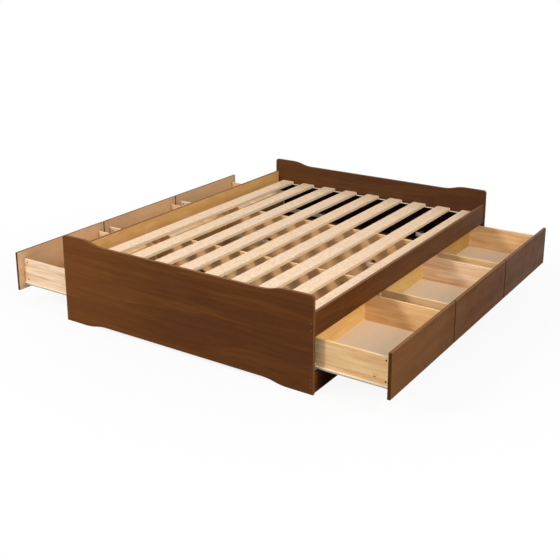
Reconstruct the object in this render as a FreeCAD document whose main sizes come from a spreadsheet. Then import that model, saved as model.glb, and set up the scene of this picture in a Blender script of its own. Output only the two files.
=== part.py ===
import FreeCAD, Part
import math
import os
import re
import Sketcher

# Platform bed with six storage drawers, in millimetres.
# X runs across the bed, Y from the foot to the head, Z up from the floor.
# The origin lies on the floor under the middle of the bed. The drawers are modelled pulled out.

SIZES = {
    # Mattress and the room around it
    "mattress_width": 1524,
    "mattress_length": 2032,
    "mattress_side_play": 7,
    "mattress_end_play": 16,
    # Laminated boards of the frame
    "board_thickness": 16,
    "board_edge_bevel": 1.5,
    # Foot and head panels
    "panel_height": 492,
    "panel_overhang": 5,
    "panel_dip": 23,
    "panel_arch_rise": 18.5,
    "panel_level_half": 500,
    "panel_curve_run": 150,
    "panel_corner_radius": 18,
    # Side rails and base boards
    "rail_bottom": 282,
    "rail_height": 122,
    "base_board_height": 100,
    # What carries the slats
    "deck_height": 325,
    "end_board_bottom": 100,
    # Slats
    "slat_count": 9,
    "slat_width": 89,
    "slat_thickness": 19,
    "slat_edge_bevel": 2,
    "slat_end_play": 2,
    # Drawer fronts
    "front_bottom": 90,
    "front_height": 225,
    "front_joint": 8,
    "front_inset": 3,
    "front_play": 2,
    "drawer_pull": 374,
    # Drawer boxes
    "box_depth": 466,
    "box_bottom": 118,
    "side_height": 152,
    "side_thickness": 12,
    "side_top_bevel": 1.5,
    "bottom_thickness": 3,
    "bottom_rise": 5,
    "groove_depth": 5,
    "groove_play": 0.2,
    "bottom_edge_play": 0.5,
    # Runners: a member on each side of the drawer, a channel on the cabinet
    "runner_space": 12.5,
    "runner_steel": 1.2,
    "member_lip": 3,
    "member_setback": 3,
    "member_height": 15.2,
    "member_flange": 8.5,
    "member_leg": 12,
    "member_tab_height": 23.2,
    "member_tab_half": 10,
    "member_tab_clip": 6,
    "channel_length": 450,
    "channel_setback": 7,
    "channel_flange": 8.5,
    "channel_floor_rise": 3,
    "channel_lip": 2,
    "channel_nose_length": 28,
    "channel_nose_clip": 6,
    # Rollers
    "running_gap": 0.3,
    "channel_roller_play": 0.45,
    "flange_roller_gap": 3,
    "bearing_gap": 0.05,
    "stud_radius": 3,
    "roller_side_gap": 0.2,
    "rear_roller_radius": 11.7,
    "rear_roller_width": 5,
    "rear_roller_back": 450,
    "front_roller_radius": 8.5,
    "front_roller_width": 4.6,
    "front_roller_setback": 11,
    "front_roller_margin": 1,
    # Battens that carry the channels beside the dividers
    "batten_height": 45,
    "batten_length": 440,
    "batten_drop": 13,
}

# Sizes that follow from the ones above
DERIVED = {
    "inner_width": "mattress_width + 2 * mattress_side_play",
    "inner_length": "mattress_length + 2 * mattress_end_play",
    "panel_width": "inner_width + 2 * board_thickness + 2 * panel_overhang",
    "overall_length": "inner_length + 2 * board_thickness",
    "front_length": "(overall_length - 2 * front_inset - 2 * front_joint) / 3",
    "drawer_pitch": "front_length + front_joint",
    "box_half": "inner_length / 2 - board_thickness - runner_space - drawer_pitch",
    "box_inner_width": "2 * box_half - 2 * side_thickness",
    "box_inner_depth": "box_depth - side_thickness",
    "bottom_reach": "groove_depth - bottom_edge_play",
    "groove_height": "bottom_thickness + groove_play",
    "front_back_face": "panel_width / 2 + front_play + drawer_pull",
    "batten_thickness": "drawer_pitch / 2 - board_thickness / 2 - box_half - runner_space",
    # Heights of the runner, counted from the bottom edge of the drawer side
    "member_top": "member_height - runner_steel",
    "member_length": "rear_roller_back + member_tab_half - member_setback",
    "member_flange_length": "rear_roller_back - rear_roller_radius - flange_roller_gap - member_setback",
    "channel_inner_height": "2 * rear_roller_radius + channel_roller_play",
    "channel_ceiling_rise": "channel_floor_rise + channel_inner_height",
    "rear_roller_rise": "channel_floor_rise + running_gap + rear_roller_radius",
    "front_roller_rise": "member_top - runner_steel - running_gap - front_roller_radius",
    "channel_nose_drop": "front_roller_radius + runner_steel - front_roller_rise",
    "channel_front": "panel_width / 2 - channel_setback",
    # Depths of the runner, counted outwards from the middle of the drawer
    "channel_back": "box_half + runner_space",
    "channel_web": "channel_back - runner_steel",
    "channel_mouth": "channel_back - channel_flange",
    "rear_roller_inside": "channel_mouth + runner_steel + roller_side_gap",
    "front_roller_inside": "box_half + runner_steel + front_roller_margin",
}

WORD = re.compile(r"[a-z_]+")
HALF_TURN = 180

DOC = FreeCAD.newDocument("PlatformBed")
SHEET = DOC.addObject("Spreadsheet::Sheet", "Size")
for row, (alias, amount) in enumerate(SIZES.items(), start=1):
    SHEET.set(f"A{row}", alias)
    SHEET.set(f"B{row}", str(amount))
    SHEET.setAlias(f"B{row}", alias)
DOC.recompute()

PIECES = []


def sheet_words(expression):
    """The expression with each of its names spelled as the sheet's cells."""

    def spelled(match):
        word = match.group()
        if word in DERIVED:
            return f"({sheet_words(DERIVED[word])})"
        return f"Size.{word}" if word in SIZES else word

    return WORD.sub(spelled, expression)


def number(expression):
    """What an expression comes to at the sheet's present sizes."""
    return float(SHEET.evalExpression(sheet_words(expression)))


def new_piece(label):
    """An empty body that becomes one file."""
    piece = DOC.addObject("PartDesign::Body", label)
    piece.Label = label
    PIECES.append(piece)
    return piece


def put(piece, x="0", y="0", z="0", turned=False):
    """Stands a piece at a point of the bed, turned half round about Z if need be."""
    angle = HALF_TURN if turned else 0
    upright = FreeCAD.Vector(0, 0, 1)
    piece.Placement = FreeCAD.Placement(FreeCAD.Vector(), FreeCAD.Rotation(upright, angle))
    for axis, expression in (("x", x), ("y", y), ("z", z)):
        piece.setExpression(f"Placement.Base.{axis}", sheet_words(expression))


def origin_plane(piece, role):
    return next(item for item in piece.Origin.OriginFeatures if item.Role == role)


def new_sketch(piece, role, name, lift="0"):
    """A sketch on one of the piece's own planes, lifted along that plane's normal."""
    drawing = piece.newObject("Sketcher::SketchObject", f"{piece.Name}_{name}")
    drawing.AttachmentSupport = [(origin_plane(piece, role), "")]
    drawing.MapMode = "FlatFace"
    drawing.setExpression("AttachmentOffset.Base.z", sheet_words(lift))
    return drawing


def tie(drawing, kind, geometry, point, expression):
    """Holds one distance between the sketch's origin and a point to the sheet."""
    distance = Sketcher.Constraint(kind, -1, 1, geometry, point, number(expression))
    index = drawing.addConstraint(distance)
    drawing.setExpression(f"Constraints[{index}]", sheet_words(expression))


def square_outline(drawing, corners):
    """Draws a closed outline of level and upright lines through corners."""
    points = [FreeCAD.Vector(number(across), number(up), 0) for across, up in corners]
    count = len(corners)
    for index in range(count):
        line = Part.LineSegment(points[index], points[(index + 1) % count])
        drawing.addGeometry(line, False)
    for index in range(count):
        following = (index + 1) % count
        drawing.addConstraint(Sketcher.Constraint("Coincident", index, 2, following, 1))
        upright = corners[index][0] == corners[following][0]
        drawing.addConstraint(Sketcher.Constraint("Vertical" if upright else "Horizontal", index))
        if upright:
            tie(drawing, "DistanceX", index, 1, corners[index][0])
        else:
            tie(drawing, "DistanceY", index, 1, corners[index][1])


def block_outline(drawing, left, right, low, high):
    """Draws a rectangle."""
    square_outline(drawing, [(left, low), (right, low), (right, high), (left, high)])


def circle_outline(drawing, across, up, radius):
    """Draws a circle about a point."""
    middle = FreeCAD.Vector(number(across), number(up), 0)
    upright = FreeCAD.Vector(0, 0, 1)
    index = drawing.addGeometry(Part.Circle(middle, upright, number(radius)), False)
    tie(drawing, "DistanceX", index, 3, across)
    tie(drawing, "DistanceY", index, 3, up)
    width = drawing.addConstraint(Sketcher.Constraint("Radius", index, number(radius)))
    drawing.setExpression(f"Constraints[{width}]", sheet_words(radius))


def pad(piece, drawing, length, centred=False, backwards=False):
    """Pads a sketch by a length."""
    feature = piece.newObject("PartDesign::Pad", f"{drawing.Name}_pad")
    feature.Profile = drawing
    feature.SideType = "Symmetric" if centred else "One side"
    feature.Reversed = backwards
    feature.setExpression("Length", sheet_words(length))
    DOC.recompute()
    return feature


def mirrored(piece, role):
    """The piece so far and its mirror image in one of its own planes."""
    feature = piece.newObject("PartDesign::Mirrored", f"{piece.Name}_mirror_{role}")
    feature.TransformMode = "Whole shape"
    feature.MirrorPlane = (origin_plane(piece, role), [""])
    piece.Tip = feature
    DOC.recompute()
    return feature


def repeated(piece, role, spread, count):
    """The piece so far, repeated along one of its own axes over a spread."""
    feature = piece.newObject("PartDesign::LinearPattern", f"{piece.Name}_row_{role}")
    feature.TransformMode = "Whole shape"
    feature.Direction = (origin_plane(piece, role), [""])
    feature.setExpression("Length", sheet_words(spread))
    feature.setExpression("Occurrences", sheet_words(count))
    piece.Tip = feature
    DOC.recompute()
    return feature


def bevelled(piece, base, size, picks):
    """Takes off the sharp edges of the piece so far that picks chooses."""
    names = [f"Edge{place}" for place, edge in enumerate(base.Shape.Edges, start=1) if picks(edge)]
    feature = piece.newObject("PartDesign::Chamfer", f"{piece.Name}_bevel")
    feature.Base = (base, names)
    feature.setExpression("Size", sheet_words(size))
    DOC.recompute()
    return feature


def near(first, second):
    return math.isclose(first, second, abs_tol=1e-6)


def lies_at(edge, axis, expressions):
    """Whether the whole edge lies at one of the stated distances along an axis."""
    low = getattr(edge.BoundBox, f"{axis}Min")
    high = getattr(edge.BoundBox, f"{axis}Max")
    return near(low, high) and any(near(low, number(place)) for place in expressions)


# ---- Boards ---------------------------------------------------------------------------------

SECTION_PLANES = {"X": "YZ_Plane", "Y": "XZ_Plane"}


def plain_section(thickness, height):
    """A board's section, standing on edge about its middle."""
    half = f"{thickness} / 2"
    return [(f"-{half}", "0"), (half, "0"), (half, height), (f"-{half}", height)]


def grooved_section(thickness, height, groove_side):
    """The same section with a groove for the drawer bottom in one face, -1 or +1."""
    open_face = f"{groove_side} * {thickness} / 2"
    far_face = f"{-groove_side} * {thickness} / 2"
    groove_end = f"{groove_side} * ({thickness} / 2 - groove_depth)"
    groove_top = "bottom_rise + groove_height"
    return [
        (far_face, "0"),
        (open_face, "0"),
        (open_face, "bottom_rise"),
        (groove_end, "bottom_rise"),
        (groove_end, groove_top),
        (open_face, groove_top),
        (open_face, height),
        (far_face, height),
    ]


def board(label, along, section, length):
    """A board of one section, centred on its origin along X or Y."""
    piece = new_piece(label)
    drawing = new_sketch(piece, SECTION_PLANES[along], "section")
    square_outline(drawing, section)
    return piece, pad(piece, drawing, length, centred=True)


def long_edges(base, along):
    """Picks the edges that run the board's whole length."""
    reach = getattr(base.Shape.BoundBox, f"{along}Length")
    return lambda edge: near(getattr(edge.BoundBox, f"{along}Length"), reach)


def long_edges_at(base, along, level):
    """Picks the edges that run the board's whole length at one height."""
    whole_length = long_edges(base, along)
    return lambda edge: whole_length(edge) and lies_at(edge, "Z", [level])


# ---- Foot and head panels -------------------------------------------------------------------


def level_curve(drawing, start, end):
    """Draws two equal arcs that leave start level and reach end level, from left to right.

    Gives (geometry, its point nearer start, its point nearer end) for each arc.
    """
    run = end.x - start.x
    rise = end.y - start.y
    way = math.copysign(1, rise)
    radius = (run**2 + rise**2) / (4 * abs(rise))
    turn = math.asin(run / (2 * radius))
    quarter = math.pi / 2
    upright = FreeCAD.Vector(0, 0, 1)
    first_middle = FreeCAD.Vector(start.x, start.y + way * radius, 0)
    second_middle = FreeCAD.Vector(end.x, end.y - way * radius, 0)
    if rise > 0:
        spans = [(-quarter, turn - quarter), (quarter, quarter + turn)]
        order = [(1, 2), (2, 1)]
    else:
        spans = [(quarter - turn, quarter), (-quarter - turn, -quarter)]
        order = [(2, 1), (1, 2)]
    arcs = []
    for middle, (low, high), (nearer, further) in zip((first_middle, second_middle), spans, order):
        arc = Part.ArcOfCircle(Part.Circle(middle, upright, radius), low, high)
        arcs.append((drawing.addGeometry(arc, False), nearer, further))
    drawing.addConstraint(Sketcher.Constraint("Equal", arcs[0][0], arcs[1][0]))
    return arcs


def straight(drawing, start, end, direction):
    """Draws one level or upright line."""
    index = drawing.addGeometry(Part.LineSegment(start, end), False)
    drawing.addConstraint(Sketcher.Constraint(direction, index))
    return [(index, 1, 2)]


def panel_half_outline(drawing):
    """The half of the panel on the +X side: arched under, and dipping in the middle of its top."""
    curve_end = "panel_level_half + panel_curve_run"
    edge = "panel_width / 2"
    dip_level = "panel_height - panel_dip"

    def point(across, up):
        return FreeCAD.Vector(number(across), number(up), 0)

    arch_middle = point("0", "panel_arch_rise")
    arch_end = point("panel_level_half", "panel_arch_rise")
    foot_inside = point(curve_end, "0")
    foot_outside = point(edge, "0")
    corner_low = point(edge, "panel_height - panel_corner_radius")
    corner_high = point(f"{edge} - panel_corner_radius", "panel_height")
    ear_inside = point(curve_end, "panel_height")
    dip_end = point("panel_level_half", dip_level)
    dip_middle = point("0", dip_level)

    corner_centre = FreeCAD.Vector(corner_high.x, corner_low.y, 0)
    corner_circle = Part.Circle(corner_centre, FreeCAD.Vector(0, 0, 1), corner_low.x - corner_high.x)

    parts = straight(drawing, arch_middle, arch_end, "Horizontal")
    parts += level_curve(drawing, arch_end, foot_inside)
    foot = straight(drawing, foot_inside, foot_outside, "Horizontal")
    parts += foot
    outside = straight(drawing, foot_outside, corner_low, "Vertical")
    parts += outside
    corner = drawing.addGeometry(Part.ArcOfCircle(corner_circle, 0, math.pi / 2), False)
    parts.append((corner, 1, 2))
    ear = straight(drawing, corner_high, ear_inside, "Horizontal")
    parts += ear
    falling = level_curve(drawing, dip_end, ear_inside)
    parts += [(index, far, near_end) for index, near_end, far in reversed(falling)]
    dip = straight(drawing, dip_end, dip_middle, "Horizontal")
    parts += dip
    parts += straight(drawing, dip_middle, arch_middle, "Vertical")

    arcs = {parts[1][0], parts[2][0], corner, falling[0][0], falling[1][0]}
    for index, part in enumerate(parts):
        following = parts[(index + 1) % len(parts)]
        kind = "Tangent" if part[0] in arcs or following[0] in arcs else "Coincident"
        joint = Sketcher.Constraint(kind, part[0], part[2], following[0], following[1])
        drawing.addConstraint(joint)

    tie(drawing, "DistanceX", parts[0][0], 1, "0")
    tie(drawing, "DistanceY", parts[0][0], 1, "panel_arch_rise")
    tie(drawing, "DistanceX", parts[0][0], 2, "panel_level_half")
    tie(drawing, "DistanceX", foot[0][0], 1, curve_end)
    tie(drawing, "DistanceY", foot[0][0], 1, "0")
    tie(drawing, "DistanceX", foot[0][0], 2, edge)
    tie(drawing, "DistanceY", ear[0][0], 1, "panel_height")
    tie(drawing, "DistanceX", ear[0][0], 2, curve_end)
    tie(drawing, "DistanceX", dip[0][0], 1, "panel_level_half")
    tie(drawing, "DistanceY", dip[0][0], 1, dip_level)
    bend = Sketcher.Constraint("Radius", corner, number("panel_corner_radius"))
    drawing.setExpression(
        f"Constraints[{drawing.addConstraint(bend)}]", sheet_words("panel_corner_radius")
    )


def end_panel(label, y):
    """A foot or head panel, with the edges of both faces eased."""
    piece = new_piece(label)
    drawing = new_sketch(piece, "XZ_Plane", "outline")
    panel_half_outline(drawing)
    pad(piece, drawing, "board_thickness", centred=True)
    whole = mirrored(piece, "YZ_Plane")
    faces = ["board_thickness / 2", "-board_thickness / 2"]
    bevelled(piece, whole, "board_edge_bevel", lambda edge: lies_at(edge, "Y", faces))
    put(piece, y=y)


# ---- Frame ----------------------------------------------------------------------------------


def side_board(label, side, bottom, height):
    """A rail or base board along one side of the bed."""
    piece, base = board(label, "Y", plain_section("board_thickness", height), "inner_length")
    bevelled(piece, base, "board_edge_bevel", long_edges(base, "Y"))
    put(piece, x=f"{side} * (inner_width / 2 + board_thickness / 2)", z=bottom)


def end_boards():
    """The two raw boards against the end panels, which carry the slat ends."""
    piece = new_piece("end_boards")
    drawing = new_sketch(piece, "YZ_Plane", "section")
    inside = "inner_length / 2 - board_thickness"
    block_outline(drawing, inside, "inner_length / 2", "end_board_bottom", "deck_height")
    pad(piece, drawing, "inner_width", centred=True)
    mirrored(piece, "XZ_Plane")
    put(piece)


def divider(label, y):
    """A board across the bed between two bays of drawers."""
    section = plain_section("board_thickness", "deck_height")
    piece, base = board(label, "X", section, "inner_width")
    bevelled(piece, base, "board_edge_bevel", long_edges_at(base, "X", "deck_height"))
    put(piece, y=y)


def slats():
    """The lengthwise slats, one pitch apart, with half a gap beside each rail."""
    piece, base = board(
        "slats",
        "Y",
        plain_section("slat_width", "slat_thickness"),
        "inner_length - 2 * slat_end_play",
    )
    bevelled(piece, base, "slat_edge_bevel", long_edges(base, "Y"))
    pitch = "inner_width / slat_count"
    repeated(piece, "X_Axis", f"({pitch}) * (slat_count - 1)", "slat_count")
    put(piece, x=f"-({pitch}) * (slat_count - 1) / 2", z="deck_height")


def runner_battens():
    """Battens on both faces of both dividers, level with the runners, on each side."""
    piece = new_piece("runner_battens")
    divider_face = "drawer_pitch / 2 - board_thickness / 2"
    drawing = new_sketch(piece, "YZ_Plane", "section", lift="inner_width / 2 - batten_length")
    low = "box_bottom - batten_drop"
    high = f"{low} + batten_height"
    block_outline(drawing, f"{divider_face} - batten_thickness", divider_face, low, high)
    pad(piece, drawing, "batten_length")
    repeated(piece, "Y_Axis", "board_thickness + batten_thickness", "2")
    mirrored(piece, "XZ_Plane")
    mirrored(piece, "YZ_Plane")
    put(piece)


# ---- Drawers --------------------------------------------------------------------------------


def put_in_drawer(piece, side, centre, x="0", y="0", z="0", turned=False):
    """Stands a piece in its drawer: x counts outwards from the back face of the front."""
    put(
        piece,
        x=f"{side} * (front_back_face + ({x}))",
        y=f"{centre} + ({y})",
        z=z,
        turned=turned != (side < 0),
    )


def drawer_front(label, side, centre):
    """The front, bevelled outside, with a stopped groove for the drawer bottom inside."""
    piece = new_piece(label)
    drawing = new_sketch(piece, "XZ_Plane", "section")
    block_outline(drawing, "0", "board_thickness", "0", "front_height")
    base = pad(piece, drawing, "front_length", centred=True)
    outer_face = ["board_thickness"]
    trimmed = bevelled(piece, base, "board_edge_bevel", lambda edge: lies_at(edge, "X", outer_face))
    before = trimmed.Shape.Volume
    groove_low = "box_bottom + bottom_rise - front_bottom"
    half = "box_inner_width / 2 + bottom_reach"
    groove_drawing = new_sketch(piece, "YZ_Plane", "groove")
    block_outline(groove_drawing, f"-({half})", half, groove_low, f"{groove_low} + groove_height")
    groove = piece.newObject("PartDesign::Pocket", f"{label}_groove_cut")
    groove.Profile = groove_drawing
    groove.Reversed = True
    groove.setExpression("Length", sheet_words("groove_depth"))
    DOC.recompute()
    if groove.Shape.Volume >= before:
        raise ValueError(f"{label}: the groove cuts nothing")
    put_in_drawer(piece, side, centre, z="front_bottom")


def drawer_side(label, side, centre, way):
    """A side of the box on the foot (-1) or head (+1) side, its top edges eased."""
    section = grooved_section("side_thickness", "side_height", -1)
    piece, base = board(label, "X", section, "box_depth")
    bevelled(piece, base, "side_top_bevel", long_edges_at(base, "X", "side_height"))
    put_in_drawer(
        piece,
        side,
        centre,
        x="-box_depth / 2",
        y=f"{way} * (box_half - side_thickness / 2)",
        z="box_bottom",
        turned=way * side < 0,
    )


def drawer_back(label, side, centre):
    """The back of the box, between its sides."""
    section = grooved_section("side_thickness", "side_height", 1)
    piece, base = board(label, "Y", section, "box_inner_width")
    bevelled(piece, base, "side_top_bevel", long_edges_at(base, "Y", "side_height"))
    put_in_drawer(piece, side, centre, x="-box_depth + side_thickness / 2", z="box_bottom")


def drawer_bottom(label, side, centre):
    """The thin bottom, let into the grooves of all four walls."""
    piece = new_piece(label)
    drawing = new_sketch(piece, "XY_Plane", "outline")
    half = "box_inner_width / 2 + bottom_reach"
    block_outline(drawing, "-box_inner_depth - bottom_reach", "bottom_reach", f"-({half})", half)
    pad(piece, drawing, "bottom_thickness")
    put_in_drawer(piece, side, centre, z="box_bottom + bottom_rise")


# ---- Runners --------------------------------------------------------------------------------


def crosswise_edges(level):
    """Picks the edges at one height that run through the thickness of a runner's web."""
    return lambda edge: lies_at(edge, "Z", [level]) and near(edge.BoundBox.XLength, 0)


def stud(piece, across, up, web, outwards, roller_start, roller_width):
    """A riveted pin, standing out of a runner's web through its roller.

    The web's face and the roller's nearer face are distances along Y; outwards is +1 or -1.
    """
    drawing = new_sketch(piece, "XZ_Plane", "stud", lift=f"-({web})")
    circle_outline(drawing, across, up, "stud_radius")
    length = f"{outwards} * (({roller_start}) - ({web})) + {roller_width}"
    pad(piece, drawing, length, backwards=outwards > 0)


def drawer_runners(label, side, centre):
    """The pair of members under the sides: web, leg, lipped flange, and a stud for the roller."""
    piece = new_piece(label)
    face = "box_half"
    rear = "-(member_setback + member_length)"
    tab_start = f"{rear} + 2 * member_tab_half"
    tab_top = "member_tab_height - runner_steel"

    web = new_sketch(piece, "XZ_Plane", "web", lift=f"-({face} + runner_steel)")
    square_outline(
        web,
        [
            (rear, "-runner_steel"),
            ("-member_setback", "-runner_steel"),
            ("-member_setback", "member_top"),
            (tab_start, "member_top"),
            (tab_start, tab_top),
            (rear, tab_top),
        ],
    )
    base = pad(piece, web, "runner_steel")
    bevelled(piece, base, "member_tab_clip", crosswise_edges(tab_top))

    leg = new_sketch(piece, "YZ_Plane", "leg", lift="-member_setback")
    block_outline(leg, f"{face} - member_leg", f"{face} + runner_steel", "-runner_steel", "0")
    pad(piece, leg, "member_length", backwards=True)

    flange = new_sketch(piece, "YZ_Plane", "flange", lift="-member_setback")
    lip_inside = f"{face} + member_flange - runner_steel"
    lip_outside = f"{face} + member_flange"
    square_outline(
        flange,
        [
            (face, "member_top"),
            (face, "member_top - runner_steel"),
            (lip_inside, "member_top - runner_steel"),
            (lip_inside, "member_top - runner_steel - member_lip"),
            (lip_outside, "member_top - runner_steel - member_lip"),
            (lip_outside, "member_top"),
        ],
    )
    pad(piece, flange, "member_flange_length", backwards=True)
    stud(
        piece,
        "-rear_roller_back",
        "rear_roller_rise",
        f"{face} + runner_steel",
        1,
        "rear_roller_inside",
        "rear_roller_width",
    )
    mirrored(piece, "XZ_Plane")
    put_in_drawer(piece, side, centre, z="box_bottom")


def cabinet_runners():
    """The twelve channels on the cabinet: web with a nose, two lipped flanges, and a stud."""
    piece = new_piece("cabinet_runners")
    rear = "channel_front - channel_length"
    nose = "channel_front - channel_nose_length"
    floor = "channel_floor_rise - runner_steel"
    ceiling = "channel_ceiling_rise + runner_steel"

    web = new_sketch(piece, "XZ_Plane", "web", lift="-channel_back")
    square_outline(
        web,
        [
            (rear, floor),
            (nose, floor),
            (nose, "-channel_nose_drop"),
            ("channel_front", "-channel_nose_drop"),
            ("channel_front", ceiling),
            (rear, ceiling),
        ],
    )
    base = pad(piece, web, "runner_steel")
    bevelled(piece, base, "channel_nose_clip", crosswise_edges("-channel_nose_drop"))

    shelves = {
        "floor": (nose, "channel_floor_rise - runner_steel", 1, f"{nose} - ({rear})"),
        "ceiling": ("channel_front", "channel_ceiling_rise + runner_steel", -1, "channel_length"),
    }
    for name, (start, outside, way, length) in shelves.items():
        drawing = new_sketch(piece, "YZ_Plane", name, lift=start)
        inside = f"{outside} + {way} * runner_steel"
        lip_end = f"{inside} + {way} * channel_lip"
        square_outline(
            drawing,
            [
                ("channel_back", outside),
                ("channel_mouth", outside),
                ("channel_mouth", lip_end),
                ("channel_mouth + runner_steel", lip_end),
                ("channel_mouth + runner_steel", inside),
                ("channel_back", inside),
            ],
        )
        pad(piece, drawing, length, backwards=True)
    stud(
        piece,
        "channel_front - front_roller_setback",
        "front_roller_rise",
        "channel_web",
        -1,
        "front_roller_inside + front_roller_width",
        "front_roller_width",
    )
    mirrored(piece, "XZ_Plane")
    repeated(piece, "Y_Axis", "2 * drawer_pitch", "3")
    mirrored(piece, "YZ_Plane")
    put(piece, y="-drawer_pitch", z="box_bottom")


def rollers(label, radius, width, inside):
    """A pair of rollers on one axis, their bores a running fit on their studs."""
    piece = new_piece(label)
    drawing = new_sketch(piece, "XY_Plane", "profile")
    bore = "stud_radius + bearing_gap"
    block_outline(drawing, bore, radius, inside, f"{inside} + {width}")
    turned = piece.newObject("PartDesign::Revolution", f"{label}_turned")
    turned.Profile = drawing
    turned.ReferenceAxis = (drawing, ["V_Axis"])
    turned.Angle = 360
    DOC.recompute()
    mirrored(piece, "XZ_Plane")
    return piece


# ---- The bed --------------------------------------------------------------------------------

panel_middle = "(inner_length / 2 + board_thickness / 2)"
end_panel("foot_panel", f"-{panel_middle}")
end_panel("head_panel", panel_middle)
for side_name, side in (("right", 1), ("left", -1)):
    side_board(f"{side_name}_side_rail", side, "rail_bottom", "rail_height")
    side_board(f"{side_name}_base_board", side, "0", "base_board_height")
end_boards()
divider("foot_divider", "-drawer_pitch / 2")
divider("head_divider", "drawer_pitch / 2")
slats()
runner_battens()
cabinet_runners()

for side_name, side in (("right", 1), ("left", -1)):
    for row_name, row in (("foot", -1), ("middle", 0), ("head", 1)):
        drawer = f"{side_name}_{row_name}_drawer"
        centre = f"{row} * drawer_pitch"
        drawer_front(f"{drawer}_front", side, centre)
        drawer_side(f"{drawer}_foot_side", side, centre, -1)
        drawer_side(f"{drawer}_head_side", side, centre, 1)
        drawer_back(f"{drawer}_back", side, centre)
        drawer_bottom(f"{drawer}_bottom", side, centre)
        drawer_runners(f"{drawer}_runners", side, centre)
        rear = rollers(
            f"{drawer}_rear_rollers", "rear_roller_radius", "rear_roller_width", "rear_roller_inside"
        )
        put_in_drawer(
            rear, side, centre, x="-rear_roller_back", z="box_bottom + rear_roller_rise"
        )
        front = rollers(
            f"{side_name}_{row_name}_cabinet_rollers",
            "front_roller_radius",
            "front_roller_width",
            "front_roller_inside",
        )
        put(
            front,
            x=f"{side} * (channel_front - front_roller_setback)",
            y=centre,
            z="box_bottom + front_roller_rise",
        )

DOC.recompute()

for item in DOC.Objects:
    if "Invalid" in item.State or "Error" in item.State:
        raise ValueError(f"{item.Name} failed: {item.State}")
for piece in PIECES:
    if piece.Shape.isNull() or not piece.Shape.isValid():
        raise ValueError(f"{piece.Label} has no valid shape")

os.makedirs("parts", exist_ok=True)
for piece in PIECES:
    piece.Shape.exportStep(f"parts/{piece.Label}.step")
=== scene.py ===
import bmesh
import bpy
import math
from mathutils import Matrix, Vector


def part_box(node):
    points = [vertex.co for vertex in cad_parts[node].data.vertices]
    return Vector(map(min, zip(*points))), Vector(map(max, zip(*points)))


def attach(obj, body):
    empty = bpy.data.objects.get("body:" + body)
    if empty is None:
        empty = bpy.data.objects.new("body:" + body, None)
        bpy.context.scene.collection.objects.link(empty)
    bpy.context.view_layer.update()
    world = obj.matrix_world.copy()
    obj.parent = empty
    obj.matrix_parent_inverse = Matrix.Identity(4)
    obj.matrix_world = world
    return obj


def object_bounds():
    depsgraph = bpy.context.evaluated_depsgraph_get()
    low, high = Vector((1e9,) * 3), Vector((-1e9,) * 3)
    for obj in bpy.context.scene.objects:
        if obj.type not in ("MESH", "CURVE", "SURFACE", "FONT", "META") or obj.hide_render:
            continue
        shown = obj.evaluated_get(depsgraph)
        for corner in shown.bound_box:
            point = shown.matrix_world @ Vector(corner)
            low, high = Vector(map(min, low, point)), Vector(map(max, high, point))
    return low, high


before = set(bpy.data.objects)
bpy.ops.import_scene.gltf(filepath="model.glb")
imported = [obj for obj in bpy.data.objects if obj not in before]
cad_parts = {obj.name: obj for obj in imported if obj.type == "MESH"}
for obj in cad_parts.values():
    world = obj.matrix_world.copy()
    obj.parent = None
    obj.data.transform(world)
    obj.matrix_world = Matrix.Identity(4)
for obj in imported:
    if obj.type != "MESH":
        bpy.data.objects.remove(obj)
cad_low, cad_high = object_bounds()

# The bed lies along Y, foot towards -Y, and its drawers open along X.
SIDES = {"right": 1, "left": -1}
ROWS = ("foot", "middle", "head")
DRAWERS = [f"{side}_{row}_drawer" for side in SIDES for row in ROWS]

# How far the bed with its drawers reaches from its middle
REACH = {"X": cad_high.x, "Y": cad_high.y}

# The slats lie side by side in one node
SLAT_COUNT = 9
SLAT_WIDTH = 0.089
slats_low, slats_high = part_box("slats")
SLAT_STEP = (slats_high.x - slats_low.x - SLAT_WIDTH) / (SLAT_COUNT - 1)


# ---- Colours ----------------------------------------------------------------------------------

# The curve of a screen's values: straight up to a start, and a power of the lifted value beyond it
CURVE_START = 0.04045
CURVE_SLOPE = 12.92
CURVE_LIFT = 0.055
CURVE_POWER = 2.4


def tone(red, green, blue):
    """A colour given as it looks on a screen, 0 to 255, as the shader's linear values."""

    def linear(part):
        part /= 255
        if part <= CURVE_START:
            return part / CURVE_SLOPE
        return ((part + CURVE_LIFT) / (1 + CURVE_LIFT)) ** CURVE_POWER

    return (linear(red), linear(green), linear(blue), 1.0)


# Walnut laminate
WALNUT_GROUND = tone(100, 58, 22)
WALNUT_LIGHT = tone(119, 70, 29)
WALNUT_DARK = tone(72, 39, 14)
# Pores, and the painted shade on the side boards' end faces
WALNUT_PORE_AND_SHADE = tone(69, 37, 14)
WALNUT_RED = tone(92, 49, 23)
# Painted light towards the foot
WALNUT_FOOT_LIGHT = tone(132, 84, 30)
# Painted sheen, greyer towards the head
WALNUT_SHEEN = tone(110, 100, 90)
# Painted shade and sheen on the head panel: darker and greyer
WALNUT_HEAD_SHADE_SHEEN = tone(70, 56, 46)
# A lighter edge band, partly painted highlight
WALNUT_EDGE_HIGHLIGHT = tone(130, 88, 54)
COVER_CAP = tone(128, 92, 66)

# Painted shade that darkens the laminate of the base boards and the end boards; and the end
# boards' bare tops, painted near white as a highlight
SHADE = tone(70, 62, 56)
BARE_LIGHT = tone(252, 246, 236)
BARE_DARK = tone(240, 230, 214)

# The plain faces towards the bed: light and dark
RAIL_INSIDE = (tone(226, 182, 119), tone(210, 162, 98))
FRONT_INSIDE = (tone(231, 192, 149), tone(221, 180, 137))

# Slat wood
SLAT_STRAW = tone(246, 221, 188)
SLAT_PINK = tone(248, 223, 200)
SLAT_BAND = tone(241, 208, 170)
SLAT_LINE = tone(222, 180, 136)
SLAT_FLECK = tone(224, 184, 146)
SLAT_FIBRE = tone(226, 188, 148)
SLAT_KNOT = tone(176, 122, 74)
# Painted light on the slats' sides
SLAT_SIDE_HIGHLIGHT = tone(252, 226, 182)

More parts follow.
